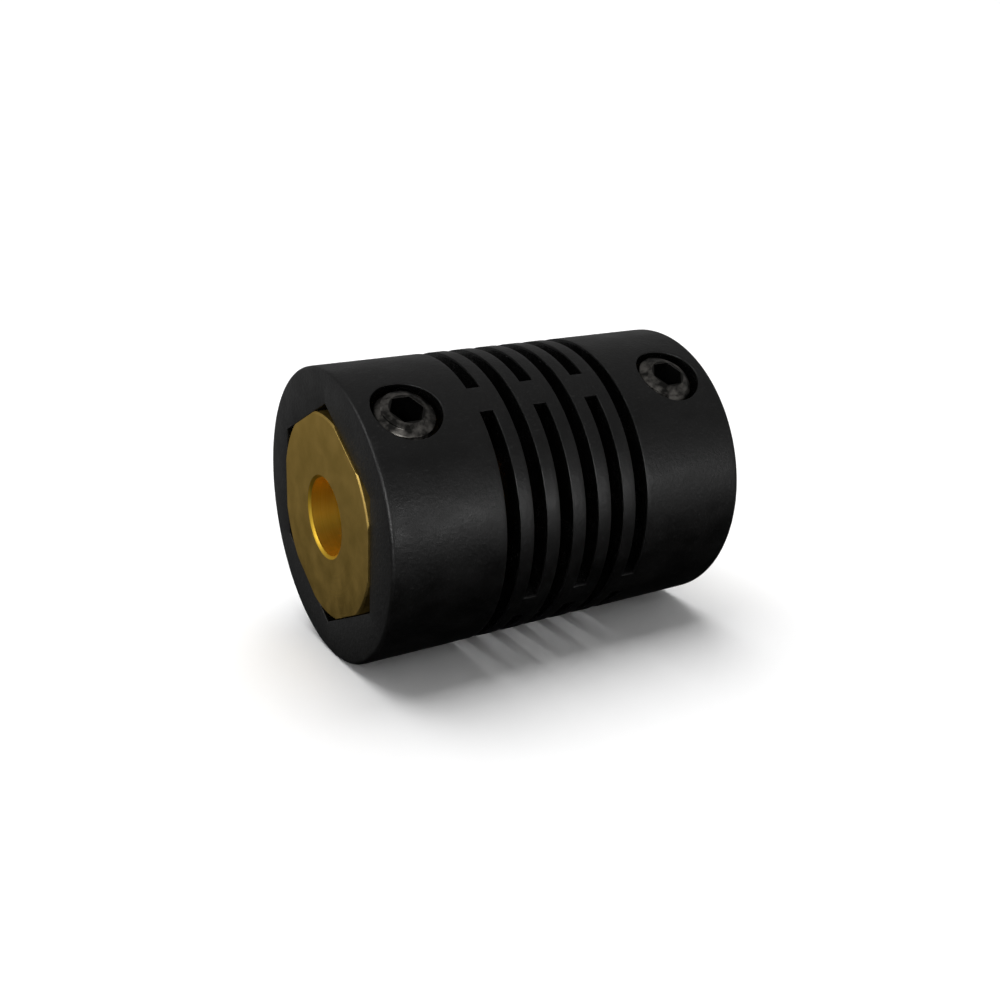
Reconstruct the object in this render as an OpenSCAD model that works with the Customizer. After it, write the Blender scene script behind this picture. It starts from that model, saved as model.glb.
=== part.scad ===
// Moulded parallel-slit shaft coupling with two brass bore inserts, each held by a set screw.
//
// The shaft axis is X and the origin is the middle of the coupling. The near end is at -X.
// The moulded body is one piece on the bench. Six slits divide it into two hub shells and five
// thin discs, and two webs bridge each slit. The webs of slits 1, 3 and 5 are in line with the
// set screws, and those of slits 2, 4 and 6 are a quarter turn round, so the body bends both ways.

/* [Body] */
// Outside diameter of the moulded body
body_d = 30; // [29:0.5:36]
// Length of the moulded body, without the proud faces of the inserts
body_len = 40.5; // [38:0.5:50]
// Radius on the rim of each end face
rim_r = 0.4; // [0.1:0.1:0.8]
// Diameter of the hollow middle, which clears the shaft ends
hollow_d = 18; // [10:0.5:19]
// Turn of the set screws about the shaft axis, from +Z towards -Y
screw_clock = 34.5; // [0:0.5:90]

/* [Slits] */
// Number of slits
slit_count = 6; // [2:2:6]
// Distance from one slit to the next
slit_pitch = 3; // [2:0.1:3.2]
// Width of each slit along the shaft axis
slit_w = 1.5; // [0.6:0.1:1.8]
// Width of each web round the body
web_w = 3.05; // [2:0.05:6]

/* [Brass inserts] */
// Size of the hexagonal bar across its flats
insert_af = 20.25; // [18:0.25:20.5]
// Diameter that the corners of the bar are turned down to
insert_corner_d = 21.2; // [20.9:0.1:22.4]
// Length of each insert
insert_len = 10.4; // [9:0.1:11]
// Height of the insert's end face above the body's end face
insert_proud = 0.2; // [0.1:0.1:0.8]
// Clearance between each flat and the pocket
pocket_gap = 0.08; // [0.02:0.01:0.15]
// Diameter of the shaft bore
bore_d = 8; // [5:0.5:9]
// Size of the chamfer at both mouths of the bore
bore_chamfer = 0.25; // [0.1:0.05:0.8]

/* [Set screws] */
// Thread diameter of the set screw
screw_d = 6; // [4:1:6]
// Length of the set screw
screw_len = 10; // [8:0.5:10]
// Depth of the screw's outer end under the outside of the body
screw_sunk = 0.1; // [0.1:0.1:0.9]
// Distance from the end of the body to the screw's axis
screw_inset = 5; // [4.2:0.1:6]
// Diameter of the hole through the plastic round the screw
screw_hole_d = 7; // [6.5:0.1:7.5]
// Radial clearance between the screw and the threaded hole
thread_gap = 0.05; // [0.02:0.01:0.1]
// Size of the hexagonal socket across its flats
socket_af = 3; // [1.5:0.5:3]
// Depth of the hexagonal socket
socket_depth = 3.5; // [2:0.5:4]

/* [Hidden] */
$fn = 96;
body_r = body_d / 2;
hollow_r = hollow_d / 2;
body_end = body_len / 2;
insert_end = body_end + insert_proud;
pocket_floor = insert_end - insert_len;
pocket_af = insert_af + 2 * pocket_gap;
insert_chamfer = 0.15;
bore_r = bore_d / 2;
screw_r = screw_d / 2;
screw_axis = body_end - screw_inset;
// A cone leads from the thread up to a narrow flat ring round the socket.
cone_h = 0.6;
ring_r = min(socket_af / cos(30) / 2 + 0.22, screw_r - 0.3);
// The cup point has a sharp rim and a shallow hollow.
cup_r = screw_r / 2;
cup_depth = 0.7;
disc_count = slit_count - 1;
disc_t = slit_pitch - slit_w;
first_slit = (slit_count - 1) * slit_pitch / 2;
// Longer than any hole that it cuts
through = 2 * body_len;

// Local frame: +Z points along the shaft to the near end, and +X points out through the set screw.
module shaft_frame() {
    rotate([screw_clock, 0, 0])
        rotate([0, -90, 0])
            children();
}

// Everything at the far end is the near end's mirror image.
module far_end() {
    mirror([1, 0, 0])
        children();
}

module hexagon_bar(af, h) {
    rotate(30)
        cylinder(d = af / cos(30), h = h, $fn = 6);
}

// The end of the body outside its slits: a tube with a rounded rim, a hexagonal pocket for the
// insert, and a plain hole for the set screw.
module hub_shell() {
    shell_start = first_slit + slit_w / 2;
    shell_len = body_end - shell_start;
    color([0.10, 0.10, 0.105])
        shaft_frame()
            difference() {
                rotate_extrude()
                    union() {
                        translate([hollow_r, shell_start])
                            square([body_r - hollow_r, shell_len - rim_r]);
                        translate([hollow_r, shell_start])
                            square([body_r - rim_r - hollow_r, shell_len]);
                        translate([body_r - rim_r, body_end - rim_r])
                            circle(r = rim_r);
                    }
                translate([0, 0, pocket_floor])
                    hexagon_bar(pocket_af, through);
                translate([0, 0, screw_axis])
                    rotate([0, 90, 0])
                        cylinder(d = screw_hole_d, h = body_r + 1);
            }
}

// A hexagonal bar with its corners turned down, a chamfered bore, and a threaded hole drawn plain.
module brass_insert() {
    corner_r = insert_corner_d / 2;
    mouth_r = bore_r + bore_chamfer;
    color([0.50, 0.39, 0.16])
        shaft_frame()
            difference() {
                intersection() {
                    translate([0, 0, pocket_floor])
                        hexagon_bar(insert_af, insert_len);
                    rotate_extrude()
                        polygon([
                            [0, pocket_floor],
                            [corner_r - insert_chamfer, pocket_floor],
                            [corner_r, pocket_floor + insert_chamfer],
                            [corner_r, insert_end - insert_chamfer],
                            [corner_r - insert_chamfer, insert_end],
                            [0, insert_end]
                        ]);
                }
                rotate_extrude()
                    polygon([
                        [0, pocket_floor - 1],
                        [mouth_r + 1, pocket_floor - 1],
                        [bore_r, pocket_floor + bore_chamfer],
                        [bore_r, insert_end - bore_chamfer],
                        [mouth_r + 1, insert_end + 1],
                        [0, insert_end + 1]
                    ]);
                translate([0, 0, screw_axis])
                    rotate([0, 90, 0])
                        cylinder(r = screw_r + thread_gap, h = body_r + 1);
            }
}

// A socket set screw with a cup point, lying in its hole with its outer end just sunk.
module set_screw() {
    outer_end = body_r - screw_sunk;
    color([0.24, 0.23, 0.21])
        shaft_frame()
            translate([outer_end - screw_len, 0, screw_axis])
                rotate([0, 90, 0])
                    difference() {
                        rotate_extrude()
                            polygon([
                                [0, cup_depth],
                                [cup_r, 0],
                                [screw_r, screw_r - cup_r],
                                [screw_r, screw_len - cone_h],
                                [ring_r, screw_len],
                                [0, screw_len]
                            ]);
                        translate([0, 0, screw_len - socket_depth])
                            cylinder(d = socket_af / cos(30), h = through, $fn = 6);
                    }
}

// Disc k lies between slits k and k + 1.
module disc(k) {
    color([0.10, 0.10, 0.105])
        shaft_frame()
            translate([0, 0, first_slit - (k - 0.5) * slit_pitch])
                difference() {
                    cylinder(r = body_r, h = disc_t, center = true);
                    cylinder(r = hollow_r, h = through, center = true);
                }
}

// A web bridges slit k on one side. Odd slits have theirs in line with the set screws: a on the
// screws' side and b opposite. Even slits have theirs a quarter turn round.
module web(k, side) {
    turn = (k % 2 == 1 ? 0 : 90) + (side == "a" ? 0 : 180);
    color([0.10, 0.10, 0.105])
        shaft_frame()
            translate([0, 0, first_slit - (k - 1) * slit_pitch])
                rotate(turn)
                    intersection() {
                        difference() {
                            cylinder(r = body_r, h = slit_w, center = true);
                            cylinder(r = hollow_r, h = through, center = true);
                        }
                        translate([body_r, 0, 0])
                            cube([body_d, web_w, through], center = true);
                    }
}

hub_shell();  // near_hub_shell
brass_insert();  // near_brass_insert
set_screw();  // near_set_screw
for (k = [1 : disc_count])
    disc(k);
for (k = [1 : slit_count], side = ["a", "b"])
    web(k, side);
far_end() hub_shell();  // far_hub_shell
far_end() brass_insert();  // far_brass_insert
far_end() set_screw();  // far_set_screw
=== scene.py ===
import math

import bmesh
import bpy
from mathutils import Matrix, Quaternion, Vector


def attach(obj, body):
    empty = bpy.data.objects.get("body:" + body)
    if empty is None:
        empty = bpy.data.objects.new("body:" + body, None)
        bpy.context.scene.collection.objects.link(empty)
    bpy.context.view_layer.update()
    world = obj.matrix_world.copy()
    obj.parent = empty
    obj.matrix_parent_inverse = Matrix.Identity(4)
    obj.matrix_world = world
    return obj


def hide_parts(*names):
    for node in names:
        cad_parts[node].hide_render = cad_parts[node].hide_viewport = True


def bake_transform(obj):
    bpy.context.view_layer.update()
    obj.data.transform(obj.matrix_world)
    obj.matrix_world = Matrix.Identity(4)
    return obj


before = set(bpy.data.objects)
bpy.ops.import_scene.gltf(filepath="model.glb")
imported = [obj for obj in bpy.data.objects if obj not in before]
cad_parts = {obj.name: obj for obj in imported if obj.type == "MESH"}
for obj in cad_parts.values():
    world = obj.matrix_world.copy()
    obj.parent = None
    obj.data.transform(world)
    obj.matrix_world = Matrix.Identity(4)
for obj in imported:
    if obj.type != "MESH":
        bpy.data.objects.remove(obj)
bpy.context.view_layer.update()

# Sizes are in millimetres and become metres where a mesh is made. h is the distance from the
# middle along the shaft, a points out through the set screws, and b is a quarter turn round.
MM = 0.001
NEAR, FAR = -1, 1
BODY_R = 15.0
BODY_END = 20.25
HOLLOW_R = 9.0
RIM_R = 0.4
SLITS = 6
SLIT_PITCH = 3.0
SLIT_W = 1.5
FIRST_SLIT = (SLITS - 1) * SLIT_PITCH / 2
WEB_W = 3.05
POCKET_FLAT = 10.205
POCKET_FLOOR = 10.05
INSERT_FLAT = 10.125
INSERT_CORNER_R = 10.6
INSERT_CHAMFER = 0.15
INSERT_START = 10.05
INSERT_END = 20.45
BORE_R = 4.0
BORE_CHAMFER = 0.25
SCREW_AXIS = 15.25
SCREW_HOLE_R = 3.5
THREAD_HOLE_R = 3.05
SCREW_R = 3.0
SCREW_LEN = 10.0
SCREW_TOP = 14.9
CLOCK = math.radians(34.5)
TO_SCREWS = Vector((0, -math.sin(CLOCK), math.cos(CLOCK)))
QUARTER_ROUND = Vector((0, math.cos(CLOCK), math.sin(CLOCK)))

# Small radii that moulding and machining leave on edges
SLIT_EDGE = 0.07
HOLE_EDGE = 0.12
POCKET_EDGE = 0.08
HOLLOW_EDGE = 0.1
INSERT_EDGE = 0.05
MOUTH_EDGE = 0.04
THREAD_MOUTH_EDGE = 0.1
THREAD_BORE_EDGE = 0.03

# A skin is a grid of rows and columns. The set screw's hole is fitted into a square window that is
# left out of the grid.
COLUMNS = 240
SECTOR = COLUMNS // 6
EVEN_TURNS = [math.tau * i / COLUMNS for i in range(COLUMNS)]
# Columns from the middle of a window to its side, and the window's half size in the hub shell, in
# the insert, and round the insert's bore
HALF_WINDOW = 11
HUB_WINDOW = 4.4
INSERT_WINDOW = 3.45
BORE_WINDOW = math.radians(58)
# A ring on the insert's end face, between its bore and its outline
FACE_RING_R = 7.4
# The insert's sharp_angle, less than its shallowest corner
CORNER_ANGLE = 17

# The set screw's thread, cone, cup point and socket
THREAD_PITCH = 1.0
THREAD_ROWS = 16
SCREW_COLUMNS = 96
CREST_R = 2.98
ROOT_R = 2.37
# Where the flat crest ends and the flat root starts, as shares of a pitch from the crest's middle
CREST_END = 0.0625
ROOT_START = 0.42
CONE_H = 0.6
CONE_ROWS = 20
RING_R = 1.952
CUP_R = 1.5
CUP_DEPTH = 0.7
# Where the thread has run out, under the top end and above the bottom end
THREAD_END = 0.2
THREAD_START = 0.8
SOCKET_AF = 3.0
SOCKET_DEPTH = 3.5
SOCKET_EDGE = 0.03
# The socket's floor is the end of a drilled hole.
DRILL_R = 1.3
DRILL_STEP = 0.1
DRILL_POINT = 0.6


def at(end, h, a, b):
    """The point in metres, in the shared frame. end is NEAR or FAR."""
    return MM * (Vector((end * h, 0, 0)) + a * TO_SCREWS + b * QUARTER_ROUND)


class Skin:
    """A mesh made of rings of points joined by bands of four-sided faces."""

    def __init__(self, end):
        self.end = end
        self.points = []
        self.faces = []

    def ring(self, points):
        """Adds points, each (h, a, b) in millimetres, and returns their numbers."""
        start = len(self.points)
        self.points.extend(at(self.end, *p) for p in points)
        return list(range(start, len(self.points)))

    def band(self, low, high, skip=()):
        """Faces between two rings, with a gap at the columns in skip."""
        count = len(low)
        for i in range(count):
            if i in skip:
                continue
            j = (i + 1) % count
            self.faces.append((low[i], low[j], high[j], high[i]))

    def bands(self, rings):
        for low, high in zip(rings, rings[1:]):
            self.band(low, high)

    def fan(self, ring, centre):
        """Triangles from a ring to one point."""
        tip = self.ring([centre])[0]
        count = len(ring)
        for i in range(count):
            self.faces.append((ring[i], ring[(i + 1) % count], tip))

    def windowed(self, rings, first):
        """Bands through rings, with a square window left out. It starts at ring number first and
        is as many rows high as it is columns wide. Returns the points of its edge, in order."""
        last = first + 2 * HALF_WINDOW
        gap = {i % COLUMNS for i in range(-HALF_WINDOW, HALF_WINDOW)}
        for k, (low, high) in enumerate(zip(rings, rings[1:])):
            self.band(low, high, gap if first <= k < last else ())
        edge = []
        for u, v in window_edge():
            edge.append(rings[first + HALF_WINDOW + u][v % COLUMNS])
        return edge

    def patch(self, edge, coords, radius, surface, steps=5):
        """Rings from a window's edge in to a round hole. coords gives each edge point's (h, b),
        and surface(h, b) the height a. Returns the ring round the hole."""
        rings = [edge]
        for step in range(1, steps + 1):
            share = step / steps
            points = []
            for (h, b), (rim_h, rim_b) in zip(coords, hole_points(radius)):
                mid_h = h + (rim_h - h) * share
                mid_b = b + (rim_b - b) * share
                points.append((mid_h, surface(mid_h, mid_b), mid_b))
            rings.append(self.ring(points))
        self.bands(rings)
        return rings[-1]

    def build(self, name, sharp_angle=30):
        """Makes the object, with a sharp edge where faces meet at more than sharp_angle degrees."""
        mesh = bpy.data.meshes.new(name)
        mesh.from_pydata([tuple(p) for p in self.points], [], self.faces)
        obj = bpy.data.objects.new(name, mesh)
        bpy.context.scene.collection.objects.link(obj)
        close_up(mesh)
        mesh.shade_smooth()
        mesh.set_sharp_from_angle(angle=math.radians(sharp_angle))
        return obj


def close_up(mesh):
    """Joins points that coincide, and turns every face outwards."""
    bm = bmesh.new()
    bm.from_mesh(mesh)
    bmesh.ops.remove_doubles(bm, verts=bm.verts, dist=1e-7)
    bmesh.ops.recalc_face_normals(bm, faces=bm.faces)
    bm.to_mesh(mesh)
    bm.free()


def window_edge():
    """The (row, column) of each point round a window's edge, from its middle."""
    w = HALF_WINDOW
    edge = [(-w, v) for v in range(-w, w)]
    edge += [(u, w) for u in range(-w, w)]
    edge += [(w, v) for v in range(w, -w, -1)]
    edge += [(u, -w) for u in range(w, -w, -1)]
    return edge


def hole_points(radius):
    """The (h, b) of each point round a hole on the set screw's axis."""
    points = []
    for u, v in window_edge():
        turn = math.atan2(v, u)
        points.append((SCREW_AXIS + radius * math.cos(turn), radius * math.sin(turn)))
    return points


def circle(h, radius, turns=None):
    """A round ring, in even steps or at the turns given."""
    turns = turns or EVEN_TURNS
    return [(h, radius * math.cos(t), radius * math.sin(t)) for t in turns]


def rounding(steps=4):
    """(sine, cosine) pairs round a quarter turn."""
    turns = [math.pi / 2 * i / steps for i in range(steps + 1)]
    return [(math.sin(t), math.cos(t)) for t in turns]


def spread(low, high, count):
    """count + 1 numbers in even steps from low to high."""
    return [low + (high - low) * i / count for i in range(count + 1)]


def hexagon(h, flat, window_b, grow=0.0):
    """A ring round the pocket's hexagon. Its columns bunch on the first flat, so that a window
    2 * window_b wide fits there."""
    flat += grow
    half_side = flat * math.tan(math.pi / 6)
    half = SECTOR // 2
    points = []
    for i in range(COLUMNS):
        side, step = divmod(i + half, SECTOR)
        step -= half
        if side % 6 == 0:
            inner = min(abs(step), HALF_WINDOW) / HALF_WINDOW * window_b
            outer = max(abs(step) - HALF_WINDOW, 0) / (half - HALF_WINDOW)
            b = math.copysign(inner + outer * (half_side - window_b), step)
        else:
            b = half_side * step / half
        turn = side * math.pi / 3
        points.append((h, flat * math.cos(turn) - b * math.sin(turn),
                       flat * math.sin(turn) + b * math.cos(turn)))
    return points


WINDOW_H = spread(SCREW_AXIS - HUB_WINDOW, SCREW_AXIS + HUB_WINDOW, 2 * HALF_WINDOW)


def window_coords(rows, column_b):
    """The (h, b) of each point round a window's edge, from its rows' h and its columns' b."""
    return [(rows[u + HALF_WINDOW], column_b(v)) for u, v in window_edge()]


def hub_shell(end, name):
    """The end of the body outside its slits: outside, screw hole, rim, pocket and hollow."""
    def on_body(h, b):
        return math.sqrt(BODY_R ** 2 - b ** 2)

    skin = Skin(end)
    slit_face = FIRST_SLIT + SLIT_W / 2
    outside = [(slit_face + SLIT_EDGE * (1 - c), BODY_R - SLIT_EDGE * (1 - s))
               for s, c in rounding(3)]
    rings = [skin.ring(circle(h, r)) for h, r in outside]
    before = spread(outside[-1][0], WINDOW_H[0], 6)[1:-1]
    rings += [skin.ring(circle(h, BODY_R)) for h in before]
    first = len(rings)
    rings += [skin.ring(circle(h, BODY_R)) for h in WINDOW_H]
    slit_ring = rings[0]
    edge = skin.windowed(rings, first)
    coords = window_coords(WINDOW_H, lambda v: BODY_R * math.sin(math.tau * v / COLUMNS))
    loop = skin.patch(edge, coords, SCREW_HOLE_R + HOLE_EDGE, on_body)
    hole = [loop]
    for s, c in rounding(4)[1:]:
        radius = SCREW_HOLE_R + HOLE_EDGE * (1 - s)
        points = [(h, on_body(h, b) - HOLE_EDGE * (1 - c), b) for h, b in hole_points(radius)]
        hole.append(skin.ring(points))
    rim_points = hole_points(SCREW_HOLE_R)
    for share in (0.25, 0.5, 0.75):
        points = []
        for h, b in rim_points:
            top = on_body(h, b) - HOLE_EDGE
            points.append((h, top + (POCKET_FLAT - top) * share, b))
        hole.append(skin.ring(points))
    # Rim radius, end face, and the edge of the pocket
    rim = [rings[-1]]
    for s, c in rounding(6)[1:]:
        rim.append(skin.ring(circle(BODY_END - RIM_R * (1 - s), BODY_R - RIM_R * (1 - c))))
    for s, c in rounding(3):
        rim.append(skin.ring(hexagon(BODY_END - POCKET_EDGE * (1 - c), POCKET_FLAT, HUB_WINDOW,
                                     POCKET_EDGE * (1 - s))))
    skin.bands(rim)
    # Pocket walls, with the window for the set screw on the first flat
    pocket = [rim[-1]]
    for h in reversed(WINDOW_H):
        pocket.append(skin.ring(hexagon(h, POCKET_FLAT, HUB_WINDOW)))
    pocket.append(skin.ring(hexagon(POCKET_FLOOR, POCKET_FLAT, HUB_WINDOW)))
    edge = skin.windowed(pocket[::-1], 1)
    coords = window_coords(WINDOW_H, lambda v: HUB_WINDOW * v / HALF_WINDOW)
    loop = skin.patch(edge, coords, SCREW_HOLE_R, lambda h, b: POCKET_FLAT)
    skin.bands(hole + [loop])
    # Pocket floor, hollow middle, and back to the slit's face
    inside = [pocket[-1]]
    for s, c in rounding(3):
        inside.append(skin.ring(circle(POCKET_FLOOR - HOLLOW_EDGE * (1 - c),
                                       HOLLOW_R + HOLLOW_EDGE * (1 - s))))
    for s, c in rounding(3)[::-1]:
        inside.append(skin.ring(circle(slit_face + SLIT_EDGE * (1 - c),
                                       HOLLOW_R + SLIT_EDGE * (1 - s))))
    inside.append(slit_ring)
    skin.bands(inside)
    return skin.build(name)


def disc(k, name):
    """The ring of plastic between slits k and k + 1."""
    skin = Skin(FAR)
    middle = -FIRST_SLIT + (k - 0.5) * SLIT_PITCH
    half = (SLIT_PITCH - SLIT_W) / 2
    e = SLIT_EDGE
    profile = [(-half + e * (1 - c), BODY_R - e * (1 - s)) for s, c in rounding(3)]
    profile += [(h, BODY_R) for h in spread(-half + e, half - e, 3)[1:-1]]
    profile += [(half - e * (1 - c), BODY_R - e * (1 - s)) for s, c in rounding(3)[::-1]]
    profile += [(half - e * (1 - c), HOLLOW_R + e * (1 - s)) for s, c in rounding(3)]
    profile += [(-half + e * (1 - c), HOLLOW_R + e * (1 - s)) for s, c in rounding(3)[::-1]]
    rings = [skin.ring(circle(middle + h, r)) for h, r in profile]
    skin.bands(rings + rings[:1])
    return skin.build(name)


def web(k, side, name):
    """A bar across slit k, from the discs' rounded edges on one side to those on the other."""
    skin = Skin(FAR)
    middle = -FIRST_SLIT + (k - 1) * SLIT_PITCH
    turn = (0 if k % 2 else math.pi / 2) + (0 if side == "a" else math.pi)
    half = WEB_W / 2
    e = SLIT_EDGE
    arc_steps = 12
    section = []
    for radius, sign in ((BODY_R, 1), (HOLLOW_R, -1)):
        for t in spread(-1, 1, arc_steps):
            b = t * (half - e)
            section.append((math.sqrt(radius ** 2 - b ** 2), b * sign))
    # The outer arc, one side with its two rounded corners, the inner arc, and the other side
    outline = []
    for index, (a, b) in enumerate(section):
        outline.append((a, b))
        if index == arc_steps:
            outline += [(a - e * (1 - c), b + e * s) for s, c in rounding(3)[1:]]
            inner_a = math.sqrt(HOLLOW_R ** 2 - (half - e) ** 2)
            outline += [(inner_a + e * (1 - c), b + e * s) for s, c in rounding(3)[:0:-1]]
        if index == 2 * arc_steps + 1:
            outline += [(a + e * (1 - c), b - e * s) for s, c in rounding(3)[1:]]
            outer_a = math.sqrt(BODY_R ** 2 - (half - e) ** 2)
            outline += [(outer_a - e * (1 - c), b - e * s) for s, c in rounding(3)[:0:-1]]
    rings = []
    for h in spread(-SLIT_W / 2 - e, SLIT_W / 2 + e, 14):
        points = []
        for a, b in outline:
            points.append((middle + h, a * math.cos(turn) - b * math.sin(turn),
                           a * math.sin(turn) + b * math.cos(turn)))
        rings.append(skin.ring(points))
    skin.bands(rings)
    skin.faces.append(tuple(rings[0]))
    skin.faces.append(tuple(rings[-1]))
    return skin.build(name)


def insert_outline(h, flat, corner_r):
    """A ring round the insert: HALF_WINDOW columns each side of the middle of every flat, and the
    rest round the turned corners."""
    half_flat = math.sqrt(corner_r ** 2 - flat ** 2)
    corner_turn = math.atan2(half_flat, flat)
    half = SECTOR // 2
    points = []
    for i in range(COLUMNS):
        side, step = divmod(i + half, SECTOR)
        step -= half
        if abs(step) <= HALF_WINDOW:
            a, b = flat, half_flat * step / HALF_WINDOW
        else:
            share = (abs(step) - HALF_WINDOW) / (half - HALF_WINDOW)
            turn = math.copysign(corner_turn + (math.pi / 6 - corner_turn) * share, step)
            a, b = corner_r * math.cos(turn), corner_r * math.sin(turn)
        turn = side * math.pi / 3
        points.append((h, a * math.cos(turn) - b * math.sin(turn),
                       a * math.sin(turn) + b * math.cos(turn)))
    return points


def bore_turn(i):
    """The turn of column i in the bore, where HALF_WINDOW columns reach to BORE_WINDOW."""
    if i > COLUMNS / 2:
        return -bore_turn(COLUMNS - i)
    if i <= HALF_WINDOW:
        return BORE_WINDOW * i / HALF_WINDOW
    share = (i - HALF_WINDOW) / (COLUMNS / 2 - HALF_WINDOW)
    return BORE_WINDOW + (math.pi - BORE_WINDOW) * share


BORE_TURNS = [bore_turn(i) for i in range(COLUMNS)]


def brass_insert(end, name):
    """A hexagonal bar with turned corners, a chamfered bore and a threaded hole."""
    def in_bore(h, b):
        return math.sqrt(BORE_R ** 2 - b ** 2)

    skin = Skin(end)
    e = INSERT_EDGE
    turned = INSERT_CORNER_R - INSERT_CHAMFER

    def outline_end(face, inward):
        rings = []
        for s, c in rounding(6):
            depth = e * (1 - c)
            points = insert_outline(face + inward * depth, INSERT_FLAT - e * (1 - s),
                                    turned - e * (1 - s) + depth)
            rings.append(skin.ring(points))
        points = insert_outline(face + inward * INSERT_CHAMFER, INSERT_FLAT, INSERT_CORNER_R)
        rings.append(skin.ring(points))
        return rings

    def mouth(face, inward):
        chamfer_r = BORE_R + BORE_CHAMFER
        rings = [skin.ring(circle(face, FACE_RING_R))]
        rings.append(skin.ring(circle(face, chamfer_r + MOUTH_EDGE, BORE_TURNS)))
        rings.append(skin.ring(circle(face + inward * MOUTH_EDGE / 2, chamfer_r, BORE_TURNS)))
        rings.append(skin.ring(circle(face + inward * BORE_CHAMFER, BORE_R, BORE_TURNS)))
        return rings

    inner_outline = outline_end(INSERT_START, 1)
    outer_outline = outline_end(INSERT_END, -1)
    # Outside, with the window for the set screw on the first flat
    rows = spread(SCREW_AXIS - INSERT_WINDOW, SCREW_AXIS + INSERT_WINDOW, 2 * HALF_WINDOW)
    middle = [skin.ring(insert_outline(h, INSERT_FLAT, INSERT_CORNER_R)) for h in rows]
    rings = inner_outline + middle + outer_outline[::-1]
    edge = skin.windowed(rings, len(inner_outline))
    half_flat = math.sqrt(INSERT_CORNER_R ** 2 - INSERT_FLAT ** 2)
    coords = window_coords(rows, lambda v: half_flat * v / HALF_WINDOW)
    wide = THREAD_HOLE_R + THREAD_MOUTH_EDGE
    hole = [skin.patch(edge, coords, wide, lambda h, b: INSERT_FLAT, 3)]
    # Bore, with the window that the threaded hole opens
    inner_mouth = mouth(INSERT_START, 1)
    outer_mouth = mouth(INSERT_END, -1)
    middle = [skin.ring(circle(h, BORE_R, BORE_TURNS)) for h in rows]
    rings = inner_mouth + middle + outer_mouth[::-1]
    edge = skin.windowed(rings, len(inner_mouth))
    coords = window_coords(rows, lambda v: BORE_R * math.sin(BORE_WINDOW * v / HALF_WINDOW))
    loop = skin.patch(edge, coords, THREAD_HOLE_R + THREAD_BORE_EDGE, in_bore, 4)
    skin.band(outer_outline[0], outer_mouth[0])
    skin.band(inner_outline[0], inner_mouth[0])
    # The threaded hole
    hole_rim = hole_points(THREAD_HOLE_R)
    high = INSERT_FLAT - THREAD_MOUTH_EDGE
    hole.append(skin.ring([(h, high, b) for h, b in hole_rim]))
    for share in (0.25, 0.5, 0.75, 1):
        points = []
        for h, b in hole_rim:
            low = in_bore(h, b) + THREAD_BORE_EDGE
            points.append((h, high + (low - high) * share, b))
        hole.append(skin.ring(points))
    skin.bands(hole + [loop])
    return skin.build(name, CORNER_ANGLE)


def thread_radius(phase):
    """Radius of the thread at a phase from 0 to 1 along one pitch, with its crest at 0."""
    off_crest = abs((phase + 0.5) % 1 - 0.5)
    share = min(max((off_crest - CREST_END) / (ROOT_START - CREST_END), 0), 1)
    return CREST_R + (ROOT_R - CREST_R) * share


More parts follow.
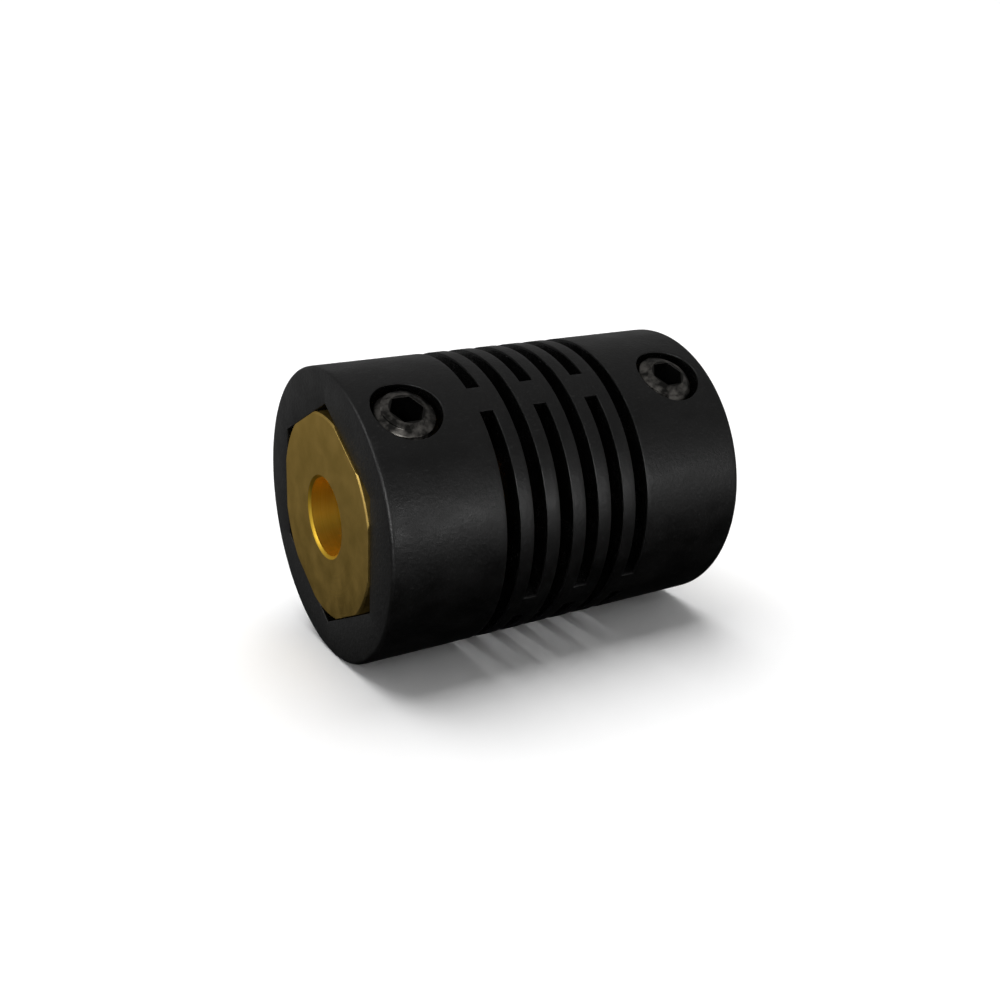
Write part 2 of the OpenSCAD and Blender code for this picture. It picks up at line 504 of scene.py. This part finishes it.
def set_screw(end, name):
    """A socket set screw with a cup point and a helical thread."""
    skin = Skin(end)
    bottom = SCREW_TOP - SCREW_LEN
    turns = [end * math.tau * i / SCREW_COLUMNS for i in range(SCREW_COLUMNS)]

    def ring(height, radius_at):
        points = []
        for i, turn in enumerate(turns):
            r = radius_at(i)
            points.append((SCREW_AXIS + r * math.cos(turn), height, r * math.sin(turn)))
        return skin.ring(points)

    def threaded(z, limit):
        return ring(z, lambda i: min(limit, thread_radius(z / THREAD_PITCH - i / SCREW_COLUMNS)))

    # The thread's rows follow its helix, and are cut off level at both ends.
    low = bottom + SCREW_R - CUP_R
    high = SCREW_TOP - CONE_H
    row_h = THREAD_PITCH / THREAD_ROWS
    rows = []
    for k in range(math.ceil((high - low) / row_h) + THREAD_ROWS + 3):
        points = []
        for i, turn in enumerate(turns):
            z = low + k * row_h + THREAD_PITCH * (i / SCREW_COLUMNS - 1)
            z = min(max(z, low), high)
            r = thread_radius(z / THREAD_PITCH - i / SCREW_COLUMNS)
            points.append((SCREW_AXIS + r * math.cos(turn), z, r * math.sin(turn)))
        rows.append(skin.ring(points))
    # Each row ends beside the start of the row that is one pitch further up.
    last = SCREW_COLUMNS - 1
    for k in range(len(rows) - 1):
        for i in range(last):
            skin.faces.append((rows[k][i], rows[k][i + 1], rows[k + 1][i + 1], rows[k + 1][i]))
        j = min(k + THREAD_ROWS, len(rows) - 2)
        skin.faces.append((rows[k][last], rows[j][0], rows[j + 1][0], rows[k + 1][last]))
    # Cone and socket
    top = [rows[-1]]
    for z in spread(high, SCREW_TOP - THREAD_END, CONE_ROWS)[1:]:
        top.append(threaded(z, SCREW_R - (z - high) * (SCREW_R - RING_R) / CONE_H))
    top.append(ring(SCREW_TOP, lambda i: RING_R))

    def socket(i, grow=0.0):
        turn = math.tau * i / SCREW_COLUMNS
        return (SOCKET_AF / 2 + grow) / math.cos(turn % (math.pi / 3) - math.pi / 6)

    socket_floor = SCREW_TOP - SOCKET_DEPTH
    top.append(ring(SCREW_TOP, lambda i: socket(i, SOCKET_EDGE)))
    top.append(ring(SCREW_TOP - SOCKET_EDGE, socket))
    top.append(ring(socket_floor, socket))
    top.append(ring(socket_floor - DRILL_STEP, lambda i: DRILL_R))
    skin.bands(top)
    skin.fan(top[-1], (SCREW_AXIS, socket_floor - DRILL_POINT, 0))
    # Cup point
    tip = [rows[0]]
    for z in spread(low, bottom + THREAD_START, CONE_ROWS)[1:]:
        tip.append(threaded(z, CUP_R + z - bottom))
    tip.append(ring(bottom, lambda i: CUP_R))
    for depth, radius in ((0.4, 0.6), (0.8, 0.2)):
        tip.append(ring(bottom + CUP_DEPTH * depth, lambda i: CUP_R * radius))
    skin.bands(tip)
    skin.fan(tip[-1], (SCREW_AXIS, bottom + CUP_DEPTH, 0))
    return skin.build(name)


# Materials

class Paint:
    """A node material, with short calls for its nodes."""

    def __init__(self, name):
        self.material = bpy.data.materials.new(name)
        self.material.use_nodes = True
        self.tree = self.material.node_tree
        self.shader = self.tree.nodes["Principled BSDF"]
        self.coords = self.tree.nodes.new("ShaderNodeTexCoord")

    def link(self, source, target):
        self.tree.links.new(source, target)

    def stretched(self, scale):
        """Object coordinates in metres, times scale on each axis."""
        node = self.tree.nodes.new("ShaderNodeVectorMath")
        node.operation = "MULTIPLY"
        node.inputs[1].default_value = scale
        self.link(self.coords.outputs["Object"], node.inputs[0])
        return node.outputs[0]

    def noise(self, vector, detail=3.0, roughness=0.55, scale=1.0):
        node = self.tree.nodes.new("ShaderNodeTexNoise")
        node.inputs["Scale"].default_value = scale
        node.inputs["Detail"].default_value = detail
        node.inputs["Roughness"].default_value = roughness
        self.link(vector, node.inputs["Vector"])
        return node.outputs[0]

    def rings(self, value, detail=2.0):
        """Noise that changes along one measure only."""
        node = self.tree.nodes.new("ShaderNodeTexNoise")
        node.noise_dimensions = "1D"
        node.inputs["Scale"].default_value = 1.0
        node.inputs["Detail"].default_value = detail
        self.link(value, node.inputs["W"])
        return node.outputs[0]

    def ramp(self, value, low, high, low_value=0.0, high_value=1.0):
        node = self.tree.nodes.new("ShaderNodeMapRange")
        node.inputs["From Min"].default_value = low
        node.inputs["From Max"].default_value = high
        node.inputs["To Min"].default_value = low_value
        node.inputs["To Max"].default_value = high_value
        self.link(value, node.inputs["Value"])
        return node.outputs[0]

    def math(self, operation, a, b=None):
        node = self.tree.nodes.new("ShaderNodeMath")
        node.operation = operation
        for socket, value in zip(node.inputs, (a, b)):
            if value is None:
                continue
            if isinstance(value, (int, float)):
                socket.default_value = value
            else:
                self.link(value, socket)
        return node.outputs[0]

    def mix(self, share, low, high):
        """A colour between two, each a tuple or an output."""
        node = self.tree.nodes.new("ShaderNodeMix")
        node.data_type = "RGBA"
        self.link(share, node.inputs["Factor"])
        for name, value in (("A", low), ("B", high)):
            socket = [s for s in node.inputs if s.name == name and s.type == "RGBA"][0]
            if isinstance(value, tuple):
                socket.default_value = (*value, 1)
            else:
                self.link(value, socket)
        return [s for s in node.outputs if s.type == "RGBA"][0]

    def blend(self, share, low, high):
        """A number between two outputs."""
        return self.math("ADD", low, self.math("MULTIPLY", share, self.math("SUBTRACT", high, low)))

    def split(self, vector):
        node = self.tree.nodes.new("ShaderNodeSeparateXYZ")
        self.link(vector, node.inputs[0])
        return node.outputs

    def length(self, vector):
        node = self.tree.nodes.new("ShaderNodeVectorMath")
        node.operation = "LENGTH"
        self.link(vector, node.inputs[0])
        return node.outputs["Value"]

    def bump(self, layers):
        """layers are (height output, distance in metres)."""
        normal = None
        for height, distance in layers:
            node = self.tree.nodes.new("ShaderNodeBump")
            node.inputs["Distance"].default_value = distance
            self.link(height, node.inputs["Height"])
            if normal:
                self.link(normal, node.inputs["Normal"])
            normal = node.outputs[0]
        self.link(normal, self.shader.inputs["Normal"])

    def finish(self, colour, roughness, metallic=0.0):
        self.link(colour, self.shader.inputs["Base Color"])
        self.link(roughness, self.shader.inputs["Roughness"])
        self.shader.inputs["Metallic"].default_value = metallic
        return self.material


def plastic():
    """Black glass-filled nylon: fine grain, fibre flecks along the flow, and cloudy gloss."""
    p = Paint("moulded_body")
    grain = p.noise(p.stretched((9000, 9000, 9000)), 3)
    coarse = p.noise(p.stretched((2600, 2600, 2600)), 4)
    fibres = p.noise(p.stretched((1500, 9000, 9000)), 2)
    clouds = p.noise(p.stretched((260, 420, 420)), 3)
    fleck = p.ramp(fibres, 0.60, 0.74)
    tone = p.mix(p.ramp(clouds, 0.3, 0.7), (0.0010, 0.0010, 0.0009), (0.0018, 0.0017, 0.0016))
    colour = p.mix(p.math("MULTIPLY", fleck, 0.4), tone, (0.022, 0.022, 0.022))
    p.shader.inputs["Specular IOR Level"].default_value = 0.5
    gloss = p.math("ADD", p.ramp(clouds, 0.3, 0.7, 0.36, 0.48),
                   p.ramp(grain, 0.3, 0.7, -0.05, 0.05))
    # The slits, screw holes and pockets, under the grained skin, are smoother.
    x = p.split(p.coords.outputs["Object"])[0]
    radius = p.length(p.stretched((0, 1, 1)))
    under_skin = p.ramp(radius, (BODY_R - 0.1) * MM, (BODY_R - 0.3) * MM)
    under_end = p.ramp(p.math("ABSOLUTE", x), (BODY_END - 0.15) * MM, (BODY_END - 0.25) * MM)
    cut = p.math("MULTIPLY", under_skin, under_end)
    gloss = p.math("ADD", gloss, p.math("MULTIPLY", cut, -0.2))
    p.bump([(coarse, 0.000036), (grain, 0.000016)])
    return p.finish(colour, gloss)


def brass():
    """Faced on its ends, reamed in its bore, drawn on its flats, with painted light in its bore."""
    p = Paint("brass")
    x = p.split(p.coords.outputs["Object"])[0]
    facing_x = p.split(p.coords.outputs["Normal"])[0]
    on_face = p.ramp(p.math("ABSOLUTE", facing_x), 0.85, 0.95)
    radius = p.length(p.stretched((0, 1, 1)))
    in_bore = p.ramp(radius, (BORE_R + 0.6) * MM, (BORE_R + 0.4) * MM)
    facing = p.rings(p.math("MULTIPLY", radius, 9000.0))
    reaming = p.rings(p.math("MULTIPLY", x, 7000.0))
    drawing = p.noise(p.stretched((300, 7000, 7000)), 3)
    clouds = p.noise(p.stretched((500, 500, 500)), 4)
    pits = p.noise(p.stretched((6000, 6000, 6000)), 2)
    marks = p.blend(on_face, p.blend(in_bore, drawing, reaming), facing)
    tone = p.mix(p.ramp(clouds, 0.3, 0.7), (0.60, 0.415, 0.115), (0.72, 0.50, 0.15))
    # Painted light: the bore gets a lighter, more saturated brass than the rest, standing in for
    # light bounced round inside it. The reaming's rings vary it.
    bore_painted_light = p.mix(p.ramp(reaming, 0.3, 0.7), (0.93, 0.58, 0.05), (1.0, 0.66, 0.08))
    not_face = p.math("SUBTRACT", 1.0, on_face)
    colour = p.mix(p.math("MULTIPLY", in_bore, not_face), tone, bore_painted_light)
    dull = p.math("ADD", p.ramp(clouds, 0.3, 0.7, 0.36, 0.46),
                  p.ramp(marks, 0.3, 0.7, -0.04, 0.04))
    polished = p.ramp(reaming, 0.3, 0.7, 0.42, 0.50)
    rough = p.blend(p.math("MULTIPLY", in_bore, not_face), dull, polished)
    p.bump([(marks, 0.000004), (pits, 0.0000015)])
    p.shader.inputs["Specular Tint"].default_value = (0.95, 0.78, 0.50, 1)
    return p.finish(colour, rough, 1.0)


def screw_steel():
    """Blackened steel, lighter in patches outside the socket: partly wear, partly painted
    highlight.
    """
    p = Paint("screw_steel")
    clouds = p.noise(p.stretched((820, 820, 820)), 4)
    grain = p.noise(p.stretched((9000, 9000, 9000)), 3)
    # Distance from the screw's own axis. The socket's corners are 0.00173 away.
    x, y, z = p.split(p.coords.outputs["Object"])
    along = p.math("SUBTRACT", p.math("ABSOLUTE", x), SCREW_AXIS * MM)
    across = p.math("ADD", p.math("MULTIPLY", y, QUARTER_ROUND.y),
                    p.math("MULTIPLY", z, QUARTER_ROUND.z))
    from_axis = p.math("SQRT", p.math("ADD", p.math("MULTIPLY", along, along),
                                      p.math("MULTIPLY", across, across)))
    # Lighter patches of noise outside the socket: partly wear on the blackening, partly painted
    # highlight standing in for lamps shining on the screw.
    wear_and_painted_highlight = p.math("MULTIPLY", p.ramp(clouds, 0.42, 0.62), p.ramp(from_axis, 0.00172, 0.00182))
    colour = p.mix(wear_and_painted_highlight, (0.030, 0.029, 0.027), (0.20, 0.19, 0.175))
    rough = p.math("ADD", p.ramp(clouds, 0.3, 0.7, 0.34, 0.46),
                   p.ramp(grain, 0.3, 0.7, -0.05, 0.05))
    p.bump([(grain, 0.000004)])
    return p.finish(colour, rough, 1.0)


# Camera, placed and turned as the photograph's was

camera = bpy.data.objects.new("camera", bpy.data.cameras.new("camera"))
bpy.context.scene.collection.objects.link(camera)
bpy.context.scene.camera = camera
camera.location = (-0.06195, -0.10305, 0.03894)
camera.rotation_mode = "QUATERNION"
aim = Vector((0.48754, 0.81246, -0.3197)).to_track_quat("-Z", "Y")
camera.rotation_quaternion = aim @ Quaternion((0, 0, 1), math.radians(0.33))
camera.data.lens = 42.2
camera.data.sensor_width = 36
camera.data.clip_start = 0.005
camera.data.clip_end = 20


# Pieces

def finish_piece(obj, slot, material, *nodes):
    obj.data.materials.append(material)
    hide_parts(*nodes)


black, gold, steel = plastic(), brass(), screw_steel()
for end, side in ((NEAR, "near"), (FAR, "far")):
    hub = f"{side}_hub"
    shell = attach(hub_shell(end, f"{side}_hub_moulding"), hub)
    finish_piece(shell, "moulded_body", black, f"{side}_hub_shell")
    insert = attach(brass_insert(end, f"{side}_hexagonal_insert"), hub)
    finish_piece(insert, "brass", gold, f"{side}_brass_insert")
    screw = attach(set_screw(end, f"{side}_socket_screw"), f"{side}_screw")
    finish_piece(screw, "screw_steel", steel, f"{side}_set_screw")
for k in range(1, SLITS):
    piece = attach(disc(k, f"moulded_disc_{k}"), f"disc_{k}")
    finish_piece(piece, "moulded_body", black, f"disc_{k}")
for k in range(1, SLITS + 1):
    middle = -FIRST_SLIT + (k - 1) * SLIT_PITCH
    for side in "ab":
        piece = web(k, side, f"moulded_web_{k}_{side}")
        finish_piece(piece, "moulded_body", black, f"web_{k}_{side}")
        end = ((middle + SLIT_W / 2) * MM, 0, 0)
        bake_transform(piece)
        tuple(end)


# Stage and light

def studio_bowl():
    """A round floor that curves up into a wall, the same from every side."""
    flat_r, curve_r, wall_h = 0.32, 0.90, 0.25
    profile = [(r, 0.0) for r in (0.02, 0.06, 0.15, 0.24, flat_r)]
    for s, c in rounding(32)[1:]:
        profile.append((flat_r + curve_r * s, curve_r * (1 - c)))
    profile.append((flat_r + curve_r, curve_r + wall_h))
    count = 96
    points = []
    for r, z in profile:
        for i in range(count):
            turn = math.tau * i / count
            points.append((r * math.cos(turn), r * math.sin(turn), z - BODY_R * MM))
    faces = [tuple(range(count))]
    for k in range(len(profile) - 1):
        for i in range(count):
            j = (i + 1) % count
            faces.append((k * count + i, k * count + j, (k + 1) * count + j, (k + 1) * count + i))
    mesh = bpy.data.meshes.new("studio_floor")
    mesh.from_pydata(points, [], faces)
    close_up(mesh)
    mesh.shade_smooth()
    floor = bpy.data.objects.new("studio_floor", mesh)
    bpy.context.scene.collection.objects.link(floor)
    p = Paint("pale_floor")
    clouds = p.noise(p.stretched((3, 3, 3)), 2)
    colour = p.mix(clouds, (0.82, 0.82, 0.82), (0.86, 0.86, 0.86))
    p.shader.inputs["Specular IOR Level"].default_value = 0.0
    floor.data.materials.append(p.finish(colour, p.ramp(clouds, 0, 1, 0.75, 0.85)))
    floor.visible_glossy = False


def softbox(name, place, size, power, mirrored=True, lights_floor=False):
    """An area lamp aimed at the middle, either for reflections or to light the floor."""
    data = bpy.data.lights.new(name, "AREA")
    data.shape = "RECTANGLE"
    data.size, data.size_y = size
    data.energy = power
    lamp = bpy.data.objects.new(name, data)
    lamp.location = place
    lamp.rotation_mode = "QUATERNION"
    lamp.rotation_quaternion = (-Vector(place)).to_track_quat("-Z", "Y")
    lamp.visible_camera = False
    lamp.visible_glossy = mirrored
    lamp.visible_diffuse = lights_floor
    bpy.context.scene.collection.objects.link(lamp)


def studio_air():
    """A soft sky: dark below the horizon, even from there up, and brightest overhead."""
    world = bpy.data.worlds.new("studio_air")
    world.use_nodes = True
    tree = world.node_tree
    coords = tree.nodes.new("ShaderNodeTexCoord")
    split = tree.nodes.new("ShaderNodeSeparateXYZ")
    lift = tree.nodes.new("ShaderNodeMapRange")
    lift.inputs["From Min"].default_value = -1
    ramp = tree.nodes.new("ShaderNodeValToRGB")
    stops = ((0.0, 0.0), (0.27, 0.004), (0.36, 0.20), (0.50, 0.24), (0.74, 0.22), (0.85, 0.13),
             (0.92, 0.26), (1.0, 0.26))
    for index, (share, level) in enumerate(stops):
        if index >= 2:
            ramp.color_ramp.elements.new(share)
        stop = ramp.color_ramp.elements[index]
        stop.position = share
        stop.color = (level, level, level, 1)
    tree.links.new(coords.outputs["Generated"], split.inputs[0])
    tree.links.new(split.outputs["Z"], lift.inputs["Value"])
    tree.links.new(lift.outputs[0], ramp.inputs[0])
    tree.links.new(ramp.outputs["Color"], tree.nodes["Background"].inputs["Color"])
    return world


studio_bowl()
softbox("overhead", (0.0, 0.25, 0.90), (1.0, 1.0), 12.5, mirrored=False, lights_floor=True)
softbox("front_right", (0.19, -0.5, 0.035), (0.24, 0.08), 0.38)
softbox("left", (-0.50, 0.05, 0.33), (0.24, 0.24), 0.7)
softbox("bore", (-0.34, -0.44, 0.14), (0.12, 0.12), 1.5)
bpy.context.scene.world = studio_air()
# The default view transform would turn the white background grey and the brass pale.
bpy.context.scene.view_settings.view_transform = "Standard"
